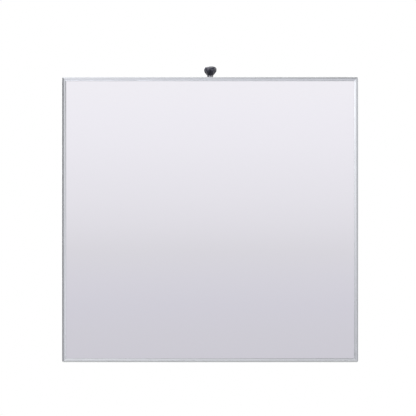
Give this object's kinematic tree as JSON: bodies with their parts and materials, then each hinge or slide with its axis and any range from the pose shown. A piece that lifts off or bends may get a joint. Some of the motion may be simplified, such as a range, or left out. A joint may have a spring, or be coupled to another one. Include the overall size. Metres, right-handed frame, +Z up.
{
  "type": "traffic convex mirror",
  "caption": "Square framed convex safety mirror on a short wall arm, with a pan stud locked by a star knob above its top edge and a friction tilt hinge behind it.",
  "frame": {"origin": "centre of the wall plate's back face, where it meets the wall", "axes": "+Y into the wall, so that the mirror faces -Y; +Z up, along the pan axis; +X to the right of a person who looks at the mirror"},
  "size_m": [0.6, 0.2289, 0.6005],
  "materials": {
    "bracket_paint": "grey powder coat",
    "yoke_paint": "satin black powder coat",
    "bearing_plastic": "natural acetal",
    "fastener_steel": "bright zinc plate",
    "knob_plastic": "semi-gloss slate-grey thermoset",
    "knob_metal": "turned and nickel plated",
    "mirror_face": "polished acrylic, mirrored",
    "backing_plastic": "extruded polystyrene sheet",
    "shell_plastic": "vacuum-formed dark grey ABS",
    "gasket_rubber": "extruded black rubber",
    "frame_aluminium": "bright anodised",
    "key_steel": "pressed steel",
    "spine_steel": "galvanised sheet",
    "rivet_aluminium": "plain",
    "friction_fibre": "resin-bonded fibre"
  },
  "bodies": {
    "wall_bracket": {"wall_plate": "bracket_paint", "arm_tube": "bracket_paint", "arm_gusset": "bracket_paint", "pan_barrel": "bracket_paint", "pan_bush_upper": "bearing_plastic", "pan_bush_lower": "bearing_plastic"},
    "yoke_assembly": {"yoke": "yoke_paint", "tilt_block": "yoke_paint", "tilt_bush_left": "bearing_plastic", "tilt_bush_right": "bearing_plastic", "pan_nut": "fastener_steel"},
    "clamp_washers": {"spring_washer": "fastener_steel", "knob_washer": "fastener_steel"},
    "knob": {"knob_grip": "knob_plastic", "knob_hub": "knob_metal", "knob_stud": "fastener_steel"},
    "mirror_head": {"mirror_pane": "mirror_face", "backing_sheet": "backing_plastic", "back_shell": "shell_plastic", "glazing_gasket": "gasket_rubber", "frame_top_rail": "frame_aluminium", "frame_bottom_rail": "frame_aluminium", "frame_left_rail": "frame_aluminium", "frame_right_rail": "frame_aluminium", "corner_key_top_left": "key_steel", "corner_key_top_right": "key_steel", "corner_key_bottom_left": "key_steel", "corner_key_bottom_right": "key_steel", "corner_screws": "fastener_steel", "spine_channel": "spine_steel", "spine_rivets": "rivet_aluminium", "hinge_bracket": "yoke_paint", "hinge_washers": "fastener_steel", "hinge_bolts": "fastener_steel", "hinge_nuts": "fastener_steel", "tilt_bolt": "fastener_steel", "tilt_washers": "fastener_steel", "tilt_lock_nut": "fastener_steel", "friction_disc_left": "friction_fibre", "friction_disc_right": "friction_fibre"}
  },
  "joints": [
    {"name": "pan", "type": "hinge", "parent": "wall_bracket", "child": "yoke_assembly", "pos_m": [0, -0.15, 0.045], "axis": [0, 0, 1], "range_deg": [-30, 30]},
    {"name": "tilt", "type": "hinge", "parent": "yoke_assembly", "child": "mirror_head", "pos_m": [0, -0.18, 0.045], "axis": [1, 0, 0], "range_deg": [-5, 15]},
    {"name": "washer_lift", "type": "slide", "parent": "yoke_assembly", "child": "clamp_washers", "axis": [0, 0, 1], "range_m": [0, 0.002]},
    {"name": "knob_turn", "type": "hinge", "parent": "clamp_washers", "child": "knob", "pos_m": [0, -0.15, 0.09], "axis": [0, 0, 1], "range_deg": [0, 722]}
  ],
  "couplings": [
    {"joint": "knob_turn", "follows": "washer_lift", "rad_per_m": 6283.2}
  ]
}
